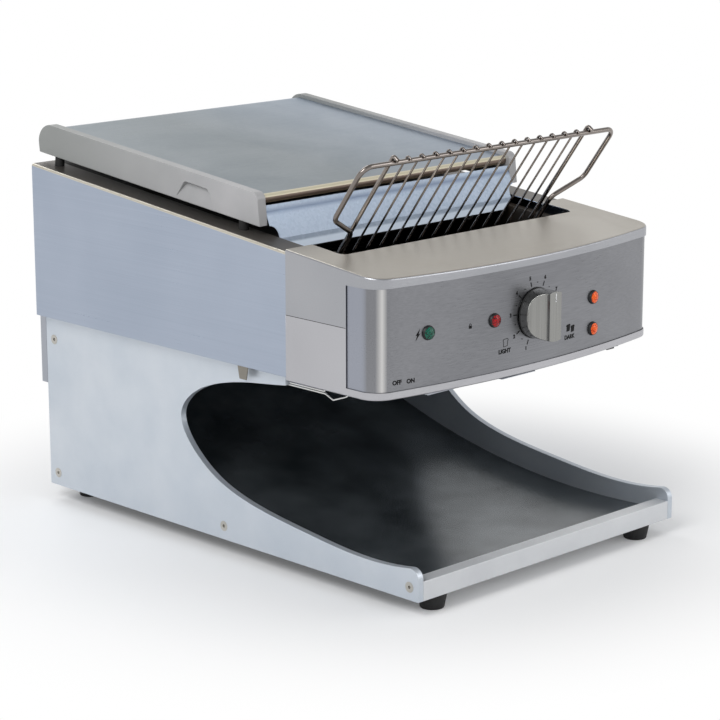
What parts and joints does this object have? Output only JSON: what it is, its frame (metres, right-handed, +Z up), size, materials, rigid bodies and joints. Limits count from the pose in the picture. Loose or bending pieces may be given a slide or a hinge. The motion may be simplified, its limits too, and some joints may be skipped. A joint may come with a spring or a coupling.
{
  "type": "conveyor toaster",
  "caption": "Counter-top conveyor toaster with a wire feed rack, bowed control fascia, lift-off warming top, crumb tray and a curved slide that returns toast to the front.",
  "frame": {"origin": "middle of the overall box on the surface that the rubber feet stand on", "axes": "+X to the right when facing the controls, -Y the control side, +Z up"},
  "size_m": [0.483, 0.684, 0.5078],
  "materials": {
    "aluminium_panel": "bead-blasted",
    "bar_aluminium": "satin",
    "stainless_brushed": "brushed",
    "stainless_rim": "brushed",
    "stainless_fascia": "brushed",
    "stainless_dark": "satin",
    "galvanised": "galvanised",
    "liner_steel": "dull",
    "slide_black": "satin black",
    "rubber_black": "matt",
    "screw_steel": "plain",
    "knob_metal": "satin",
    "lens_green": "clear",
    "lens_red": "clear",
    "lens_amber": "clear",
    "plastic_black": "matt",
    "rocker_black": "gloss",
    "bright_wire": "polished",
    "plate_steel": "satin",
    "cap_plastic": "satin",
    "bronze": "plain",
    "chain_steel": "oiled",
    "heater_sheath": "matt",
    "ceramic_white": "matt",
    "motor_grey": "satin",
    "board_green": "satin",
    "block_white": "matt"
  },
  "bodies": {
    "toaster": {"base_panel_left": "aluminium_panel", "base_panel_right": "aluminium_panel", "front_bar": "bar_aluminium", "tie_rods": "screw_steel", "toast_slide": "slide_black", "base_rear_panel": "stainless_brushed", "rubber_feet": "rubber_black", "rear_foot_plates": "stainless_brushed", "steel_screws": "screw_steel", "chassis_floor": "galvanised", "chamber_plate_left": "liner_steel", "chamber_plate_right": "liner_steel", "chamber_liners": "liner_steel", "casing_side_left": "stainless_brushed", "casing_side_right": "stainless_brushed", "casing_back": "stainless_brushed", "casing_roof": "stainless_brushed", "casing_catch": "stainless_rim", "rear_cover": "stainless_brushed", "cable_gland": "plastic_black", "front_lower_housing": "stainless_rim", "front_top_cover": "stainless_rim", "fascia_panel": "stainless_fascia", "lamp_bezels": "plastic_black", "lamp_lens_green": "lens_green", "lamp_lens_red": "lens_red", "lamp_lenses_amber": "lens_amber", "speed_regulator": "plastic_black", "switch_bodies": "plastic_black", "switch_guard": "bright_wire", "top_rest_posts": "rubber_black", "deflector_plate": "galvanised", "rack_supports": "stainless_dark", "conveyor_strands": "stainless_dark", "shaft_bearings": "bronze", "drive_chain": "chain_steel", "gear_motor": "motor_grey", "belt_guides": "liner_steel", "heating_elements": "heater_sheath", "element_insulators": "ceramic_white", "tray_rails": "galvanised", "fan_frame": "plastic_black", "control_board": "board_green", "terminal_block": "block_white"},
    "knob": {"control_knob": "knob_metal", "knob_spindle": "screw_steel"},
    "power_switch": {"power_rocker": "rocker_black"},
    "mode_switch": {"mode_rocker": "rocker_black"},
    "warming_top": {"warming_plate": "plate_steel", "warming_cap_left": "cap_plastic", "warming_cap_right": "cap_plastic"},
    "feed_rack": {"rack_frame": "stainless_dark", "rack_wires": "stainless_dark"},
    "drive_axle": {"drive_shaft": "screw_steel", "drive_sprockets": "stainless_dark", "chain_wheel": "chain_steel"},
    "idler_axle": {"idler_shaft": "screw_steel"},
    "motor_output": {"motor_sprocket": "chain_steel"},
    "crumb_drawer": {"crumb_tray": "stainless_brushed"},
    "fan_wheel": {"fan_rotor": "plastic_black"}
  },
  "joints": [
    {"name": "knob_turn", "type": "hinge", "parent": "toaster", "child": "knob", "pos_m": [0, -0.322, 0.312], "axis": [0, 1, 0], "range_deg": [-135, 135]},
    {"name": "power_tilt", "type": "hinge", "parent": "toaster", "child": "power_switch", "pos_m": [-0.222, -0.211, 0.2432], "axis": [1, 0, 0], "range_deg": [-7, 7]},
    {"name": "mode_tilt", "type": "hinge", "parent": "toaster", "child": "mode_switch", "pos_m": [0.16, -0.284, 0.2432], "axis": [1, 0, 0], "range_deg": [-7, 7]},
    {"name": "warming_top_lift", "type": "slide", "parent": "toaster", "child": "warming_top", "axis": [0, 0, 1], "range_m": [0, 0.12]},
    {"name": "rack_lift", "type": "slide", "parent": "toaster", "child": "feed_rack", "axis": [0, -0.5878, 0.809], "range_m": [0, 0.25]},
    {"name": "tray_pull", "type": "slide", "parent": "toaster", "child": "crumb_drawer", "axis": [0, -1, 0], "range_m": [0, 0.35]},
    {"name": "drive_spin", "type": "hinge", "parent": "toaster", "child": "drive_axle", "pos_m": [0, 0.207, 0.289], "axis": [1, 0, 0], "continuous": true},
    {"name": "idler_spin", "type": "hinge", "parent": "toaster", "child": "idler_axle", "pos_m": [0, -0.211, 0.289], "axis": [1, 0, 0], "continuous": true},
    {"name": "motor_spin", "type": "hinge", "parent": "toaster", "child": "motor_output", "pos_m": [0.2, 0.098, 0.331], "axis": [1, 0, 0], "continuous": true},
    {"name": "fan_spin", "type": "hinge", "parent": "toaster", "child": "fan_wheel", "pos_m": [0.214, 0.315, 0.377], "axis": [0, 1, 0], "continuous": true}
  ],
  "couplings": [
    {"joint": "idler_spin", "follows": "drive_spin", "ratio": 1},
    {"joint": "motor_spin", "follows": "drive_spin", "ratio": 2}
  ]
}
